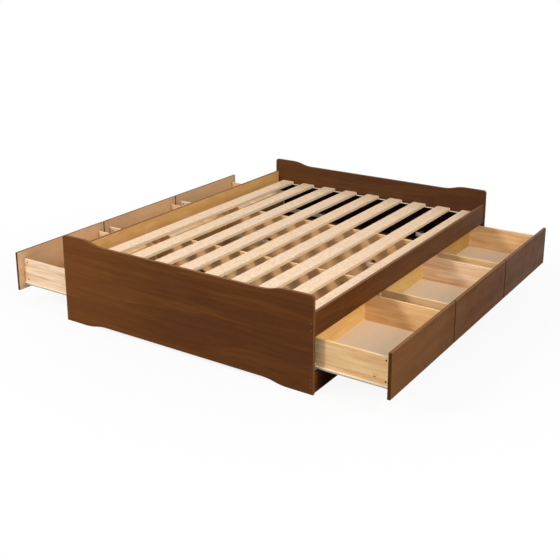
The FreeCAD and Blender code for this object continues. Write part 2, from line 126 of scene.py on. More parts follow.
# Drawer side wood
SIDE_STRAW = tone(240, 204, 152)
SIDE_PINK = tone(251, 226, 196)
SIDE_TAN = tone(216, 168, 114)
SIDE_WARM = tone(210, 146, 84)
SIDE_BROWN = tone(184, 124, 74)
SIDE_KNOT = tone(136, 84, 44)

# Other woods: light, middle and dark, the middle and head drawer backs darker copies that
# carry painted shade; and the painted shade on the outside of the drawer backs
DIVIDER_WOOD = (tone(234, 194, 142), tone(224, 178, 124), tone(196, 146, 88))
BACK_WOOD = (tone(236, 195, 126), tone(226, 181, 110), tone(196, 148, 84))
MIDDLE_BACK_SHADED_WOOD = (tone(220, 188, 117), tone(211, 174, 102), tone(183, 142, 77))
HEAD_BACK_SHADED_WOOD = (tone(196, 160, 88), tone(186, 147, 76), tone(160, 119, 57))
BOTTOM_BOARD = (tone(240, 218, 188), tone(236, 212, 182), tone(228, 202, 170))
BACK_OUTSIDE_SHADE = tone(146, 98, 42)
HEAD_BACK_OUTSIDE_SHADE = tone(70, 44, 20)

# Enamel: whole, worn, and the painted shade on the low webs
ENAMEL = tone(240, 226, 206)
ENAMEL_WORN = tone(190, 184, 172)
ENAMEL_SHADE = tone(160, 150, 134)

# Nylon and screws: light and dark
NYLON = (tone(44, 42, 40), tone(26, 25, 24))
GILT = (tone(214, 178, 128), tone(184, 146, 98))
BROWNED = (tone(64, 38, 20), tone(36, 20, 10))

# The room
FLOOR_DARK = tone(216, 216, 216)
FLOOR_LIGHT = tone(222, 222, 222)
WHITE = (1.0, 1.0, 1.0, 1.0)
BLACK = (0.0, 0.0, 0.0, 1.0)


# ---- Node trees -------------------------------------------------------------------------------

# Where the Mix node has its sockets when it mixes colours
MIX_AMOUNT, MIX_FIRST, MIX_SECOND = 0, 6, 7
MIX_RESULT = 2


class Tree:
    """A shader tree that is filled node by node."""

    def __init__(self, tree):
        self.tree = tree

    def add(self, kind, inputs=None, **settings):
        node = self.tree.nodes.new(kind)
        for name, value in settings.items():
            setattr(node, name, value)
        for name, value in (inputs or {}).items():
            self.feed(value, node.inputs[name])
        return node

    def feed(self, value, socket):
        if isinstance(value, bpy.types.NodeSocket):
            self.tree.links.new(value, socket)
        else:
            socket.default_value = value

    def math(self, operation, first, second=0.0):
        node = self.add("ShaderNodeMath", operation=operation)
        self.feed(first, node.inputs[0])
        self.feed(second, node.inputs[1])
        return node.outputs[0]

    def vector_math(self, operation, first, second):
        node = self.add("ShaderNodeVectorMath", operation=operation)
        self.feed(first, node.inputs[0])
        self.feed(second, node.inputs[1])
        return node.outputs[0]

    def length(self, vector):
        node = self.add("ShaderNodeVectorMath", operation="LENGTH")
        self.feed(vector, node.inputs[0])
        return node.outputs["Value"]

    def split(self, vector):
        return self.add("ShaderNodeSeparateXYZ", {"Vector": vector}).outputs

    def join(self, **parts):
        return self.add("ShaderNodeCombineXYZ", parts).outputs[0]

    def place(self):
        """The point in the object's own coordinates, which stay with it as it moves."""
        return self.add("ShaderNodeTexCoord").outputs["Object"]

    def use(self, group, **inputs):
        """The outputs of a node group whose inputs are given by name."""
        titled = {name.replace("_", " ").title(): value for name, value in inputs.items()}
        return self.add("ShaderNodeGroup", titled, node_tree=group).outputs

    def between(self, value, low, high, out_low=0.0, out_high=1.0):
        """Spreads the stretch from low to high over out_low to out_high, smoothly."""
        node = self.add(
            "ShaderNodeMapRange",
            {"Value": value, "From Min": low, "From Max": high, "To Min": out_low, "To Max": out_high},
            interpolation_type="SMOOTHSTEP",
        )
        return node.outputs["Result"]

    def mix(self, amount, first, second, blend="MIX"):
        node = self.add("ShaderNodeMix", data_type="RGBA", blend_type=blend)
        self.feed(amount, node.inputs[MIX_AMOUNT])
        self.feed(first, node.inputs[MIX_FIRST])
        self.feed(second, node.inputs[MIX_SECOND])
        return node.outputs[MIX_RESULT]

    def noise(self, vector, scale, detail=3.0, roughness=0.5):
        inputs = {"Vector": vector, "Scale": scale, "Detail": detail, "Roughness": roughness}
        return self.add("ShaderNodeTexNoise", inputs).outputs["Fac"]


def new_group(name, inputs, outputs):
    """A shader node group; inputs are (title, kind, default), outputs are titles of numbers."""
    group = bpy.data.node_groups.new(name, "ShaderNodeTree")
    for title, kind, default in inputs:
        socket = group.interface.new_socket(title, in_out="INPUT", socket_type=f"NodeSocket{kind}")
        if default is not None:
            socket.default_value = default
    for title in outputs:
        group.interface.new_socket(title, in_out="OUTPUT", socket_type="NodeSocketFloat")
    tree = Tree(group)
    entry = tree.add("NodeGroupInput")
    leave = tree.add("NodeGroupOutput")
    return group, tree, entry.outputs, leave.inputs


# How far a step of the board's number moves its grain, so that no two boards look alike
BOARD_SPREAD = {"X": 13.7, "Y": 3.1, "Z": 7.3}

# Knots: how their cells are squeezed along the grain, the smallest as a share of the largest, the
# dark core and the reach of the bent grain in radii, and how strongly the grain bends
KNOT_SQUEEZE = 0.5
SMALLEST_KNOT = 0.5
KNOT_CORE = 0.4
KNOT_REACH = 5.0
KNOT_PULL = 0.8

# How bands, fibres and mottles are squeezed along the grain, which draws them out
BAND_SQUEEZE = (0.10, 1.0, 1.0)
FIBRE_SQUEEZE = (0.03, 1.0, 1.0)
MOTTLE_SQUEEZE = (0.4, 1.0, 1.0)

# How often bands and lines drift from side to side, and the middle of the noise that moves them
DRIFT_SCALE = 14.0
NOISE_MIDDLE = 0.5

# Growth lines: how they step back with depth, and where the sharp end of each begins
LINE_SLOPE = 0.8
LINE_END = 0.82

# From where to where in its noise, or in the grain's own masks, each mask rises
BAND_RISE = (0.35, 0.65)
STREAK_RISE = (0.56, 0.70)
FINE_RISE = (0.3, 0.7)
SMUDGE_RISE = (0.42, 0.72)
WEAR_RISE = (0.6, 0.8)
SHARP_BAND_RISE = (0.25, 0.75)
FLECK_RISE = (0.2, 0.9)
PINK_RISE = (0.3, 0.85)

# The shares of fibres and growth lines in the relief
FIBRE_RELIEF = 0.7
LINE_RELIEF = 0.3


def grain_group():
    """Solid or printed wood whose grain runs along X, bending round its knots."""
    group, tree, given, put = new_group(
        "wood_grain",
        [
            ("Vector", "Vector", None),
            ("Board", "Float", 0.0),
            ("Band Width", "Float", 0.03),
            ("Line Width", "Float", 0.012),
            ("Wander", "Float", 0.03),
            ("Fibre Width", "Float", 0.0015),
            ("Mottle Size", "Float", 0.02),
            ("Knot Spacing", "Float", 0.12),
            ("Knot Size", "Float", 0.008),
            ("Knot Share", "Float", 0.0),
        ],
        ["Bands", "Streaks", "Lines", "Fibres", "Mottles", "Knots", "Height"],
    )
    moves = {axis: tree.math("MULTIPLY", given["Board"], far) for axis, far in BOARD_SPREAD.items()}
    place = tree.vector_math("ADD", given["Vector"], tree.join(**moves))

    # The board's face as a flat sheet: along the grain, and across it
    parts = tree.split(place)
    across = tree.math("ADD", parts["Y"], parts["Z"])
    sheet = tree.join(X=tree.math("MULTIPLY", parts["X"], KNOT_SQUEEZE), Y=across)
    cells = tree.add(
        "ShaderNodeTexVoronoi",
        {"Vector": sheet, "Scale": tree.math("DIVIDE", 1.0, given["Knot Spacing"])},
        voronoi_dimensions="2D",
    ).outputs
    chance = tree.add("ShaderNodeSeparateColor", {"Color": cells["Color"]}).outputs
    chosen = tree.math("LESS_THAN", chance["Red"], given["Knot Share"])
    share = tree.between(chance["Green"], 0.0, 1.0, SMALLEST_KNOT, 1.0)
    size = tree.math("MULTIPLY", given["Knot Size"], share)
    away = tree.math("MULTIPLY", cells["Distance"], given["Knot Spacing"])
    core = tree.between(away, size, tree.math("MULTIPLY", size, KNOT_CORE))
    tree.feed(tree.math("MULTIPLY", core, chosen), put["Knots"])
    reach = tree.between(away, tree.math("MULTIPLY", size, KNOT_REACH), 0.0, 0.0, KNOT_PULL)
    pull = tree.math("MULTIPLY", reach, chosen)
    centre = tree.split(cells["Position"])["Y"]
    bent = tree.math("MULTIPLY", tree.math("SUBTRACT", centre, across), pull)
    place = tree.vector_math("ADD", place, tree.join(Y=bent))

    # Long soft bands and streaks that drift from side to side
    long_place = tree.vector_math("MULTIPLY", place, BAND_SQUEEZE)
    drift = tree.noise(long_place, DRIFT_SCALE, detail=2.0)
    drift = tree.math("MULTIPLY", tree.math("SUBTRACT", drift, NOISE_MIDDLE), given["Wander"])
    long_place = tree.vector_math("ADD", long_place, tree.join(Y=drift, Z=drift))
    bands = tree.noise(long_place, tree.math("DIVIDE", 1.0, given["Band Width"]), detail=2.0)
    tree.feed(tree.between(bands, *BAND_RISE), put["Bands"])
    tree.feed(tree.between(bands, *STREAK_RISE), put["Streaks"])

    # Growth lines: each darkens slowly and ends sharply
    parts = tree.split(long_place)
    depth = tree.math("ADD", parts["Y"], tree.math("MULTIPLY", parts["Z"], LINE_SLOPE))
    saw = tree.math("FRACT", tree.math("DIVIDE", depth, given["Line Width"]))
    line = tree.math("MULTIPLY", saw, tree.between(saw, 1.0, LINE_END))
    tree.feed(line, put["Lines"])

    # Fine fibres, and soft mottling
    thin_place = tree.vector_math("MULTIPLY", place, FIBRE_SQUEEZE)
    fineness = tree.math("DIVIDE", 1.0, given["Fibre Width"])
    fibres = tree.noise(thin_place, fineness, roughness=0.6)
    tree.feed(tree.between(fibres, *FINE_RISE), put["Fibres"])
    short_place = tree.vector_math("MULTIPLY", place, MOTTLE_SQUEEZE)
    mottle_scale = tree.math("DIVIDE", 1.0, given["Mottle Size"])
    mottles = tree.noise(short_place, mottle_scale, roughness=0.6)
    tree.feed(tree.between(mottles, *FINE_RISE), put["Mottles"])
    fibre_height = tree.math("MULTIPLY", fibres, FIBRE_RELIEF)
    line_height = tree.math("MULTIPLY", line, LINE_RELIEF)
    tree.feed(tree.math("ADD", fibre_height, line_height), put["Height"])
    return group


def board_number_group():
    """A random number that is the same all over one board of a row of boards."""
    group, tree, given, put = new_group(
        "board_number",
        [("Along", "Float", 0.0), ("Pitch", "Float", 0.1), ("Start", "Float", 0.0)],
        ["Number"],
    )
    place = tree.math("DIVIDE", tree.math("SUBTRACT", given["Along"], given["Start"]), given["Pitch"])
    step = tree.math("FLOOR", place)
    random = tree.add("ShaderNodeTexWhiteNoise", noise_dimensions="1D")
    tree.feed(step, random.inputs["W"])
    tree.feed(random.outputs["Value"], put["Number"])
    return group


def handling_group():
    """Faint smudges on a smooth board, as a mask from 0 to 1."""
    group, tree, given, put = new_group(
        "handling", [("Vector", "Vector", None), ("Size", "Float", 0.12)], ["Smudge"]
    )
    scale = tree.math("DIVIDE", 1.0, given["Size"])
    wide = tree.noise(given["Vector"], scale, detail=4.0, roughness=0.65)
    tree.feed(tree.between(wide, *SMUDGE_RISE), put["Smudge"])
    return group


GRAIN = grain_group()
BOARD_NUMBER = board_number_group()
HANDLING = handling_group()


# ---- What the finishes share ------------------------------------------------------------------

# The turn that lays the grain along an axis
TURNS = {"X": (0.0, 0.0, 0.0), "Y": (0.0, 0.0, -math.pi / 2)}

# A face counts as looking along an axis if it looks along it at least this squarely
SQUARELY = 0.9


def start_material(name):
    """An empty material, its tree, and its shader's inputs."""
    material = bpy.data.materials.new(name)
    material.use_nodes = True
    material.node_tree.nodes.clear()
    tree = Tree(material.node_tree)
    shader = tree.add("ShaderNodeBsdfPrincipled")
    output = tree.add("ShaderNodeOutputMaterial")
    tree.feed(shader.outputs[0], output.inputs["Surface"])
    return material, tree, shader.inputs


def grained(tree, along, board=0.0, **widths):
    """The masks of the grain group, turned so that its grain runs along X or Y."""
    turned = tree.add("ShaderNodeMapping", {"Vector": tree.place(), "Rotation": TURNS[along]})
    return tree.use(GRAIN, vector=turned.outputs[0], board=board, **widths)


def toned(tree, amount, strength, colour, other, blend="MIX"):
    """The colour moved towards another by a mask times a strength."""
    return tree.mix(tree.math("MULTIPLY", amount, strength), colour, other, blend)


def layered(tree, colour, *layers):
    """The colour under layers of (mask, strength, tone), the last on top."""
    for amount, strength, other in layers:
        colour = toned(tree, amount, strength, colour, other)
    return colour


def facing(tree, axis):
    """How far a face looks along an axis, from -1 to 1."""
    normal = tree.add("ShaderNodeNewGeometry").outputs["Normal"]
    return tree.split(normal)[axis]


def facing_mask(tree, axis, start, full):
    """0 to 1 as a face looks along an axis, either way, from a start share to a full one."""
    return tree.between(tree.math("ABSOLUTE", facing(tree, axis)), start, full)


def upward_mask(tree, start, full):
    """0 to 1 as a face looks up, from a start share to a full one."""
    return tree.between(facing(tree, "Z"), start, full)


def inside_mask(tree):
    """1 on faces that look along X towards the middle of the bed."""
    across = tree.split(tree.place())["X"]
    inwards = tree.math("MULTIPLY", facing(tree, "X"), tree.math("SIGN", across))
    return tree.math("LESS_THAN", inwards, -SQUARELY)


def towards(tree, axis, start, full):
    """0 to 1 along an axis of the bed, from a start share of its reach to a full one."""
    along = tree.split(tree.place())[axis]
    return tree.between(tree.math("DIVIDE", along, REACH[axis]), start, full)


def board_number(tree, along, pitch, start=0.0):
    """The random number of the board at a distance along a row of boards."""
    return tree.use(BOARD_NUMBER, along=along, pitch=pitch, start=start)["Number"]


def smudges(tree, **size):
    """0 to 1 where hands have touched a board."""
    return tree.use(HANDLING, vector=tree.place(), **size)["Smudge"]


def skin(tree, shader, height, mask, smooth, rough, relief, shine=0.5):
    """The skin of a piece: relief after a height, and roughness that grows with a mask."""
    bump = tree.add("ShaderNodeBump", {"Height": height, "Distance": relief, "Strength": 1.0})
    tree.feed(bump.outputs[0], shader["Normal"])
    tree.feed(tree.between(mask, 0.0, 1.0, smooth, rough), shader["Roughness"])
    shader["Specular IOR Level"].default_value = shine


# ---- Finishes ---------------------------------------------------------------------------------

# The laminate's printed grain, its mottling on the large boards, and the size of its clouds
LAMINATE_GRAIN = {"band_width": 0.06, "line_width": 0.03, "wander": 0.05, "fibre_width": 0.0025}
LAMINATE_MOTTLE = 0.06
CLOUD_SIZE = 0.30

# Cover caps: where they stand on the height of a rail and of a base board, and their radius,
# out to which they fade from a full core
RAIL_CAPS = (0.30, 0.60)
BASE_CAPS = (0.34, 0.54, 0.74)
CAP_RADIUS = 0.0046
CAP_CORE = 0.0040

# Plain wood: the pitch at which the boards' numbers change and where it starts, and how many growth
# lines make a band's width
PLAIN_PITCH = 0.35
PLAIN_START = 0.07
BAND_IN_LINES = 1.5

# Drawer sides: what keeps the numbers apart on the two sides of the bed, and how far apart they
# change along it
SIDE_APART = 12.7
SIDE_PITCH = 0.11

# Enamel: the scales of its orange peel and of its wear; up to this share of a runner member's
# height its web is greyed by painted shade, the shadow under the flange's lip
PEEL_SCALE = 900.0
WEAR_SCALE = 40.0
SHADED_WEB_SHARE = 0.45


def walnut_colour(tree, wood):
    """Dark walnut laminate: cloudy, with long soft bands, faint dark lines and pores."""
    return layered(
        tree,
        WALNUT_GROUND,
        (smudges(tree, size=CLOUD_SIZE), 0.70, WALNUT_RED),
        (tree.between(wood["Bands"], *SHARP_BAND_RISE), 0.75, WALNUT_LIGHT),
        (wood["Lines"], 0.45, WALNUT_DARK),
        (wood["Mottles"], 0.25, WALNUT_GROUND),
        (wood["Fibres"], 0.40, WALNUT_PORE_AND_SHADE),
    )


def walnut_skin(tree, shader, wood):
    """The laminate's satin skin."""
    satin = {"smooth": 0.40, "rough": 0.52, "relief": 0.00012, "shine": 0.06}
    skin(tree, shader, wood["Fibres"], smudges(tree), **satin)


def cap_dots(tree):
    """1 on the cover caps over the screws of the rails and base boards, on the end panels."""
    rail_low, rail_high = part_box("right_side_rail")
    base_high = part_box("right_base_board")[1]
    heights = [rail_low.z + share * (rail_high.z - rail_low.z) for share in RAIL_CAPS]
    heights += [base_high.z * share for share in BASE_CAPS]
    middle = (rail_low.x + rail_high.x) / 2
    parts = tree.split(tree.place())
    across = tree.math("SUBTRACT", tree.math("ABSOLUTE", parts["X"]), middle)
    dots = 0.0
    for height in heights:
        away = tree.length(tree.join(X=across, Y=tree.math("SUBTRACT", parts["Z"], height)))
        dots = tree.math("MAXIMUM", dots, tree.between(away, CAP_RADIUS, CAP_CORE))
    return dots


def end_panel_finish():
    """Walnut laminate, grain across the bed, a lighter edge band, cover caps, and painted light, shade
    and sheen.
    """
    material, tree, shader = start_material("walnut_panel")
    wood = grained(tree, "X", mottle_size=LAMINATE_MOTTLE, **LAMINATE_GRAIN)
    colour = layered(
        tree,
        walnut_colour(tree, wood),
        # painted light and shade: lighter towards -X, darker towards +X, and at the head darker and
        # greyer
        (towards(tree, "X", 0.0, -0.65), 0.35, WALNUT_LIGHT),
        (towards(tree, "X", -0.3, 0.65), 0.30, WALNUT_DARK),
        (towards(tree, "Y", -0.5, 0.5), 0.30, WALNUT_HEAD_SHADE_SHEEN),
        # lighter edge band, partly painted highlight
        (facing_mask(tree, "Y", 0.9, 0.6), 0.60, WALNUT_EDGE_HIGHLIGHT),
        (cap_dots(tree), 0.50, COVER_CAP),
    )
    tree.feed(colour, shader["Base Color"])
    walnut_skin(tree, shader, wood)
    return material


def side_board_finish(name, inside, shade=0.0, foot_light=0.0, sheen_from=0.0):
    """Walnut laminate along the bed, with a plain face of another colour towards the bed.

    It is lighter by painted light (foot_light) towards the foot, greyer by painted sheen towards
    the head from sheen_from on, and darker by painted shade (shade) all along but at its foot end.
    Its top faces take a lighter edge band with painted highlight, and its end faces painted shade.
    """
    inside_light, inside_dark = inside
    material, tree, shader = start_material(name)
    wood = grained(tree, "Y", mottle_size=LAMINATE_MOTTLE, **LAMINATE_GRAIN)
    colour = layered(
        tree,
        walnut_colour(tree, wood),
        # painted light, lighter towards the foot
        (towards(tree, "Y", 0.1, -0.6), foot_light, WALNUT_FOOT_LIGHT),
        # painted sheen, greyer towards the head
        (towards(tree, "Y", sheen_from, 0.7), 0.20, WALNUT_SHEEN),
        # lighter edge band on the top faces, partly painted highlight
        (facing_mask(tree, "Z", 0.5, 0.7), 0.60, WALNUT_EDGE_HIGHLIGHT),
        # painted shade on the end faces
        (facing_mask(tree, "Y", 0.5, 0.7), 0.80, WALNUT_PORE_AND_SHADE),
    )
    # painted shade all along, but less at the foot end
    colour = toned(tree, towards(tree, "Y", -0.99, -0.90), shade, colour, SHADE, "MULTIPLY")
    plain = tree.mix(wood["Mottles"], inside_dark, inside_light)
    plain = toned(tree, wood["Fibres"], 0.35, plain, inside_dark)
    tree.feed(tree.mix(inside_mask(tree), colour, plain), shader["Base Color"])
    walnut_skin(tree, shader, wood)
    return material


def end_board_finish():
    """Walnut laminate darkened all over by painted shade, with a bare pale edge on top painted near white
    as a highlight.
    """
    material, tree, shader = start_material("walnut_end_board_painted_shade")
    wood = grained(tree, "X", **LAMINATE_GRAIN)
    # painted shade over the whole board
    colour = tree.mix(1.0, walnut_colour(tree, wood), SHADE, "MULTIPLY")
    # the bare top, painted near white as a highlight
    bare = tree.mix(wood["Fibres"], BARE_LIGHT, BARE_DARK)
    tree.feed(tree.mix(upward_mask(tree, 0.6, 0.8), colour, bare), shader["Base Color"])
    walnut_skin(tree, shader, wood)
    return material


def slat_finish():
    """Planed pale softwood, each slat a little different, with fine lines, flecks, pin knots and painted
    light on the sides.
    """
    material, tree, shader = start_material("planed_slats")
    gap_middle = slats_low.x - (SLAT_STEP - SLAT_WIDTH) / 2
    number = board_number(tree, tree.split(tree.place())["X"], SLAT_STEP, gap_middle)
    wood = grained(
        tree,
        "Y",
        number,
        band_width=0.02,
        line_width=0.011,
        wander=0.03,
        fibre_width=0.004,
        mottle_size=0.011,
        knot_spacing=0.15,
        knot_size=0.006,
        knot_share=0.35,
    )
    colour = layered(
        tree,
        tree.mix(number, SLAT_STRAW, SLAT_PINK),
        (wood["Bands"], 0.40, SLAT_BAND),
        (wood["Lines"], 0.30, SLAT_LINE),
        (tree.between(wood["Mottles"], *FLECK_RISE), 0.55, SLAT_FLECK),
        (wood["Fibres"], 0.35, SLAT_FIBRE),
        (wood["Knots"], 0.60, SLAT_KNOT),
        # painted light: the sides lighter, as if lit from the right
        (facing_mask(tree, "X", 0.80, 0.95), 0.55, SLAT_SIDE_HIGHLIGHT),
    )
    tree.feed(colour, shader["Base Color"])
    planed = {"smooth": 0.58, "rough": 0.72, "relief": 0.0002, "shine": 0.25}
    skin(tree, shader, wood["Height"], wood["Mottles"], **planed)
    return material


def plain_wood_finish(name, along, tones, outside=None, knot_share=0.35, line_width=0.012):
    """Clear-coated solid wood in three tones; outside is a painted-shade tone for faces towards the bed.
    """
    light, middle, dark = tones
    material, tree, shader = start_material(name)
    across = "Y" if along == "X" else "X"
    number = board_number(tree, tree.split(tree.place())[across], PLAIN_PITCH, PLAIN_START)
    wood = grained(
        tree,
        along,
        number,
        band_width=line_width * BAND_IN_LINES,
        line_width=line_width,
        wander=0.05,
        fibre_width=0.002,
        knot_share=knot_share,
    )
    colour = tree.mix(wood["Bands"], middle, light)
    if outside:
        # painted shade on the faces towards the bed
        colour = toned(tree, inside_mask(tree), 0.80, colour, outside)
    colour = layered(
        tree,
        colour,
        (wood["Lines"], 0.50, dark),
        (wood["Mottles"], 0.25, middle),
        (wood["Fibres"], 0.30, middle),
        (wood["Knots"], 0.70, dark),
    )
    tree.feed(colour, shader["Base Color"])
    clear_coat = {"smooth": 0.44, "rough": 0.58, "relief": 0.00015, "shine": 0.35}
    skin(tree, shader, wood["Height"], smudges(tree), **clear_coat)
    return material


def drawer_side_finish():
    """Lacquered softwood for the drawer sides, each board its own tone, with wavy brown streaks."""
    material, tree, shader = start_material("drawer_side_wood")
    parts = tree.split(tree.place())
    apart = tree.math("MULTIPLY", tree.math("SIGN", parts["X"]), SIDE_APART)
    number = board_number(tree, tree.math("ADD", parts["Y"], apart), SIDE_PITCH)
    wood = grained(
        tree,
        "X",
        number,
        band_width=0.024,
        line_width=0.030,
        wander=0.07,
        fibre_width=0.0025,
        mottle_size=0.03,
        knot_spacing=0.12,
        knot_size=0.010,
        knot_share=0.45,
    )
    pale = tree.mix(tree.between(number, *PINK_RISE), SIDE_STRAW, SIDE_PINK)
    colour = layered(
        tree,
        pale,
        (wood["Bands"], 0.55, SIDE_TAN),
        (wood["Streaks"], 0.60, SIDE_WARM),
        (wood["Lines"], 0.34, SIDE_BROWN),
        (wood["Mottles"], 0.25, pale),
        (wood["Fibres"], 0.30, SIDE_TAN),
        (wood["Knots"], 0.75, SIDE_KNOT),
        (upward_mask(tree, 0.5, 0.8), 0.50, pale),
    )
    tree.feed(colour, shader["Base Color"])
    lacquer = {"smooth": 0.46, "rough": 0.60, "relief": 0.00015, "shine": 0.25}
    skin(tree, shader, wood["Height"], smudges(tree), **lacquer)
    return material


def enamel_finish():
    """Cream enamel on the pressed-steel runners, greyed low on their webs by painted shade."""
    material, tree, shader = start_material("cream_enamel")
    place = tree.place()
    orange_peel = tree.noise(place, PEEL_SCALE, detail=2.0)
    worn = tree.between(tree.noise(place, WEAR_SCALE, detail=5.0, roughness=0.7), *WEAR_RISE)
    runner_low, runner_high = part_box("right_foot_drawer_runners")
    shade_level = runner_low.z + SHADED_WEB_SHARE * (runner_high.z - runner_low.z)
    web = tree.math("GREATER_THAN", tree.math("ABSOLUTE", facing(tree, "Y")), SQUARELY)
    shaded_web = tree.math("MULTIPLY", web, tree.math("LESS_THAN", tree.split(place)["Z"], shade_level))
    # Painted shade on the low webs, as if in the shadow under the lip
    colour = layered(tree, ENAMEL, (worn, 0.30, ENAMEL_WORN), (shaded_web, 0.55, ENAMEL_SHADE))
    tree.feed(colour, shader["Base Color"])
    skin(tree, shader, orange_peel, worn, smooth=0.3, rough=0.5, relief=0.00003)
    return material


def small_piece_finish(name, tones, scale, detail, metallic=0.0, **surface):
    """A small moulded or turned piece, with a fine grain that shows in its tone and its relief."""
    light, dark = tones
    material, tree, shader = start_material(name)
    grain = tree.noise(tree.place(), scale, detail=detail)
    tree.feed(tree.mix(grain, dark, light), shader["Base Color"])
    shader["Metallic"].default_value = metallic
    skin(tree, shader, grain, grain, **surface)
    return material


NYLON_SKIN = {"scale": 600.0, "detail": 3.0, "smooth": 0.45, "rough": 0.60, "relief": 0.00004}
SCREW_SKIN = {"scale": 1500.0, "detail": 2.0, "smooth": 0.25, "rough": 0.45, "relief": 0.00002}

FINISHES = {
    "panel": end_panel_finish(),
    "rail": side_board_finish("walnut_rail", RAIL_INSIDE, sheen_from=-0.9),
    # The base boards carry painted shade
    "base": side_board_finish("walnut_base_painted_shade", RAIL_INSIDE, shade=0.85),
    "front": side_board_finish("walnut_front", FRONT_INSIDE, foot_light=0.3),
    "end_board": end_board_finish(),
    "slats": slat_finish(),
    "divider": plain_wood_finish("divider_board", "X", DIVIDER_WOOD),
    "side": drawer_side_finish(),
    "back": plain_wood_finish("drawer_back_wood", "Y", BACK_WOOD, BACK_OUTSIDE_SHADE),
    # The middle and head drawer backs are darker copies: painted shade
    "middle_back": plain_wood_finish("middle_back_painted_shade", "Y", MIDDLE_BACK_SHADED_WOOD, BACK_OUTSIDE_SHADE),
    "head_back": plain_wood_finish("head_back_painted_shade", "Y", HEAD_BACK_SHADED_WOOD, HEAD_BACK_OUTSIDE_SHADE),
    "bottom": plain_wood_finish("drawer_bottom_board", "Y", BOTTOM_BOARD, knot_share=0.0, line_width=0.2),
    "enamel": enamel_finish(),
    "roller": small_piece_finish("black_nylon", NYLON, **NYLON_SKIN),
    "gilt_screw": small_piece_finish("gilt_screw", GILT, **SCREW_SKIN, metallic=0.4),
    "dark_screw": small_piece_finish("dark_screw", BROWNED, **SCREW_SKIN, metallic=0.2),
}

# The first ending that a node's name has tells its finish
FINISH_BY_ENDING = {
    "_panel": "panel",
    "_side_rail": "rail",
    "_base_board": "base",
    "_drawer_front": "front",
    "_foot_side": "side",
    "_head_side": "side",
    "_middle_drawer_back": "middle_back",
    "_head_drawer_back": "head_back",
    "_drawer_back": "back",
    "_drawer_bottom": "bottom",
    "_divider": "divider",
    "end_boards": "end_board",
    "runner_battens": "divider",
    "slats": "slats",
    "_runners": "enamel",
    "_rollers": "roller",
}

for node in sorted(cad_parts):
    ending = next(ending for ending in FINISH_BY_ENDING if node.endswith(ending))
    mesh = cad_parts[node].data
    mesh.materials.clear()
    mesh.materials.append(FINISHES[FINISH_BY_ENDING[ending]])


# ---- Small fittings ---------------------------------------------------------------------------

# Screw heads: how many sides, how high and how tapered, the share of radius and rise that the dome
# takes, and the radii
SCREW_SIDES = 16
SCREW_RISE = 0.0004
SCREW_TAPER = 0.9
DOME_SHARE = 0.25
DRAWER_SCREW_RADIUS = 0.005
SLAT_SCREW_RADIUS = 0.004
RUNNER_SCREW_RADIUS = 0.0035

# The two screws at the end of a drawer side: how far behind the front, and at which heights
SCREW_BEHIND_FRONT = 0.030
DRAWER_SCREW_HEIGHTS = (0.2, 0.88)

# The screws of a runner member: where along it from its back end, how far above its lowest edge,
# and how far outside the drawer side, on the face of the steel
RUNNER_SCREW_PLACES = (0.14, 0.45, 0.78)
RUNNER_SCREW_LEVEL = 0.0095
RUNNER_STEEL = 0.0012

# The clips: how far from the bed's middle, their length and height, how rounded their edges are,
# and the knob's radius as a share of their depth
CLIP_ACROSS = 0.376
CLIP_LENGTH = 0.024
CLIP_HEIGHT = 0.012
CLIP_ROUNDING = 0.0018
KNOB_SHARE = 0.42

# Depth of a clip and its distance from the drawer side, at an end panel and at a divider
PANEL_CLIP = (0.010, 0.0020)
DIVIDER_CLIP = (0.014, 0.0145)

UP = Vector((0, 0, 1))


def new_object(name, data):
    """An object of the data, in the scene."""
    made = bpy.data.objects.new(name, data)
    bpy.context.scene.collection.objects.link(made)
    return made


def mesh_of(shape, name):
    """Turns a bmesh into a mesh and frees it."""
    mesh = bpy.data.meshes.new(name)
    shape.to_mesh(mesh)
    shape.free()
    return mesh


def finished_piece(name, shape, finish, body):
    """Makes a mesh object of a bmesh and rides it on a body."""
    bmesh.ops.recalc_face_normals(shape, faces=shape.faces)
    mesh = mesh_of(shape, name)
    for face in mesh.polygons:
        face.use_smooth = True
    mesh.materials.append(FINISHES[finish])
    piece = new_object(name, mesh)
    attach(piece, body)


def move_added(shape, before, matrix):
    """Moves whatever has been added to the bmesh since the corners in before."""
    added = [corner for corner in shape.verts if corner not in before]
    bmesh.ops.transform(shape, matrix=matrix, verts=added)


def add_screw(shape, centre, outwards, radius):
    """Adds a low domed screw head whose back lies on a face at centre, looking outwards."""
    before = set(shape.verts)
    bmesh.ops.create_cone(
        shape,
        cap_ends=True,
        segments=SCREW_SIDES,
        radius1=radius,
        radius2=radius * SCREW_TAPER,
        depth=SCREW_RISE,
    )
    shape.normal_update()
    added = [face for face in shape.faces if not before.intersection(face.verts)]
    top = [face for face in added if face.normal.z > SQUARELY]
    inset, dome = radius * DOME_SHARE, SCREW_RISE * DOME_SHARE
    bmesh.ops.inset_region(shape, faces=top, thickness=inset, depth=dome)
    turn = UP.rotation_difference(outwards).to_matrix().to_4x4()
    move_added(shape, before, Matrix.Translation(centre + outwards * SCREW_RISE / 2) @ turn)


